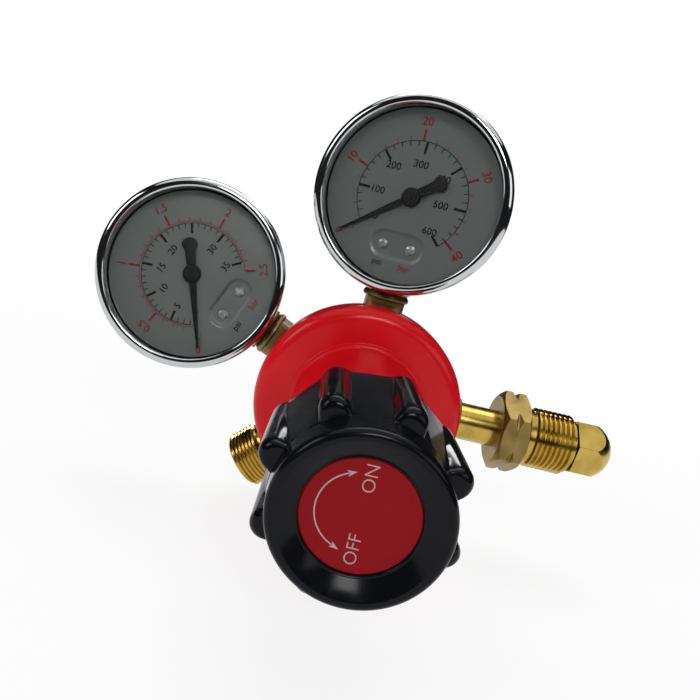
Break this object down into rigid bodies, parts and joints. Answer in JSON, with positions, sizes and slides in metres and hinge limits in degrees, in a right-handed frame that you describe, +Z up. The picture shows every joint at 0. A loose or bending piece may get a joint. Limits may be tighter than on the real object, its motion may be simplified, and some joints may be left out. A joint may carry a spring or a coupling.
{
  "type": "gas pressure regulator",
  "caption": "Fuel-gas cylinder pressure regulator: dished bonnet with ribbed adjusting knob, twin dial gauges, bull-nose inlet with hexagon nut, threaded outlet and relief valve.",
  "frame": {"origin": "on the inlet's axis, half way along the inlet nut's thread", "axes": "+X along the inlet, out of the regulator towards the cylinder valve; -Y along the adjusting knob's axis, out towards the user; +Z up, towards the high-pressure gauge"},
  "size_m": [0.2016, 0.1286, 0.1619],
  "materials": {
    "brass": "turned, bright",
    "nut_brass": "milled, slightly dulled",
    "red_paint": "gloss enamel on a turned casting",
    "red_disc": "satin film",
    "black_plastic": "moulded, glossy",
    "rubber": "reinforced sheet",
    "seat_plastic": "turned",
    "steel": "zinc plated",
    "sintered_bronze": "sintered, porous",
    "case_steel": "plated sheet",
    "chrome": "polished plate",
    "lens": "clear",
    "dial_paint": "satin silver-grey print",
    "pointer_black": "matte black",
    "bronze": "drawn tube"
  },
  "bodies": {
    "regulator": {"body": "brass", "bonnet": "red_paint", "diaphragm": "rubber", "slip_ring": "brass", "main_spring": "steel", "valve_nozzle": "brass", "poppet_spring": "steel", "inlet_stem": "brass", "inlet_filter": "sintered_bronze", "outlet_connector": "brass", "relief_body": "brass", "relief_spring": "steel", "relief_cap": "brass", "high_gauge_socket": "brass", "high_gauge_case": "case_steel", "high_gauge_case_screws": "steel", "high_gauge_bezel": "chrome", "high_gauge_lens": "lens", "high_gauge_dial": "dial_paint", "high_gauge_dial_screws": "steel", "high_gauge_bourdon_tube": "bronze", "high_gauge_back_plate": "brass", "high_gauge_front_plate": "brass", "low_gauge_socket": "brass", "low_gauge_case": "case_steel", "low_gauge_case_screws": "steel", "low_gauge_bezel": "chrome", "low_gauge_lens": "lens", "low_gauge_dial": "dial_paint", "low_gauge_dial_screws": "steel", "low_gauge_bourdon_tube": "bronze", "low_gauge_back_plate": "brass", "low_gauge_front_plate": "brass"},
    "spring_follower": {"spring_button": "brass", "thrust_ball": "steel"},
    "knob_and_screw": {"knob": "black_plastic", "knob_disc": "red_disc", "adjusting_screw": "steel"},
    "diaphragm_centre": {"diaphragm_plate": "brass", "diaphragm_button": "brass"},
    "valve": {"valve_poppet": "brass", "seat_insert": "seat_plastic", "push_pin": "steel"},
    "relief_valve": {"relief_poppet": "brass"},
    "nut": {"inlet_nut": "nut_brass"},
    "high_pointer": {"high_gauge_pointer": "pointer_black", "high_gauge_pinion": "brass"},
    "high_sector": {"high_gauge_sector_gear": "brass"},
    "high_link": {"high_gauge_link": "steel"},
    "high_tube_end": {"high_gauge_tube_tip": "brass"},
    "low_pointer": {"low_gauge_pointer": "pointer_black", "low_gauge_pinion": "brass"},
    "low_sector": {"low_gauge_sector_gear": "brass"},
    "low_link": {"low_gauge_link": "steel"},
    "low_tube_end": {"low_gauge_tube_tip": "brass"}
  },
  "joints": [
    {"name": "follower_slide", "type": "slide", "parent": "regulator", "child": "spring_follower", "axis": [0, 1, 0], "range_m": [0, 0.008], "deforming": ["main_spring"]},
    {"name": "knob_turn", "type": "hinge", "parent": "spring_follower", "child": "knob_and_screw", "pos_m": [-0.075, -0.088, 0], "axis": [0, 1, 0], "range_deg": [0, 1440.01]},
    {"name": "diaphragm_stroke", "type": "slide", "parent": "regulator", "child": "diaphragm_centre", "axis": [0, 1, 0], "range_m": [0, 0.0008], "stiffness_N_per_m": 1500, "springref_m": -0.002, "deforming": ["diaphragm"]},
    {"name": "valve_stroke", "type": "slide", "parent": "regulator", "child": "valve", "axis": [0, 1, 0], "range_m": [0, 0.0008], "deforming": ["poppet_spring"]},
    {"name": "relief_lift", "type": "slide", "parent": "regulator", "child": "relief_valve", "axis": [0.342, 0, -0.9397], "range_m": [0, 0.0015], "stiffness_N_per_m": 1500, "springref_m": -0.002, "deforming": ["relief_spring"]},
    {"name": "nut_turn", "type": "hinge", "parent": "regulator", "child": "nut", "pos_m": [0, 0, 0], "axis": [1, 0, 0], "continuous": true},
    {"name": "high_tube_end_slide", "type": "slide", "parent": "regulator", "child": "high_tube_end", "axis": [0.2704, -0.0548, 0.9612], "range_m": [0, 0.00354], "stiffness_N_per_m": 300, "springref_m": -0.001, "deforming": ["high_gauge_bourdon_tube"]},
    {"name": "high_sector_turn", "type": "hinge", "parent": "regulator", "child": "high_sector", "pos_m": [-0.07185, 0, 0.06012], "axis": [-0.2416, -0.9703, 0.0127], "range_deg": [0, 37.58]},
    {"name": "high_pointer_turn", "type": "hinge", "parent": "regulator", "child": "high_pointer", "pos_m": [-0.07097, 0, 0.07689], "axis": [-0.2416, -0.9703, 0.0127], "range_deg": [-263.05, 0]},
    {"name": "high_link_turn", "type": "hinge", "parent": "high_sector", "child": "high_link", "pos_m": [-0.06649, -0.00136, 0.05778], "axis": [-0.2416, -0.9703, 0.0127], "range_deg": [-39.26, 0]},
    {"name": "low_tube_end_slide", "type": "slide", "parent": "regulator", "child": "low_tube_end", "axis": [-0.7939, 0.0393, 0.6068], "range_m": [0, 0.00354], "stiffness_N_per_m": 300, "springref_m": -0.001, "deforming": ["low_gauge_bourdon_tube"]},
    {"name": "low_sector_turn", "type": "hinge", "parent": "regulator", "child": "low_sector", "pos_m": [-0.12978, 0, 0.02497], "axis": [0.072, -0.9848, 0.158], "range_deg": [0, 37.58]},
    {"name": "low_pointer_turn", "type": "hinge", "parent": "regulator", "child": "low_pointer", "pos_m": [-0.14507, 0, 0.03193], "axis": [0.072, -0.9848, 0.158], "range_deg": [-263.05, 0]},
    {"name": "low_link_turn", "type": "hinge", "parent": "low_sector", "child": "low_link", "pos_m": [-0.12561, 0.00098, 0.02917], "axis": [0.072, -0.9848, 0.158], "range_deg": [-39.26, 0]}
  ],
  "couplings": [
    {"joint": "knob_turn", "follows": "follower_slide", "rad_per_m": 3141.6},
    {"joint": "valve_stroke", "follows": "diaphragm_stroke", "ratio": 1},
    {"joint": "high_sector_turn", "follows": "high_tube_end_slide", "rad_per_m": 185.24},
    {"joint": "high_pointer_turn", "follows": "high_tube_end_slide", "rad_per_m": -1296.7},
    {"joint": "high_link_turn", "follows": "high_tube_end_slide", "rad_per_m": -193.47},
    {"joint": "low_sector_turn", "follows": "low_tube_end_slide", "rad_per_m": 185.24},
    {"joint": "low_pointer_turn", "follows": "low_tube_end_slide", "rad_per_m": -1296.7},
    {"joint": "low_link_turn", "follows": "low_tube_end_slide", "rad_per_m": -193.47}
  ]
}
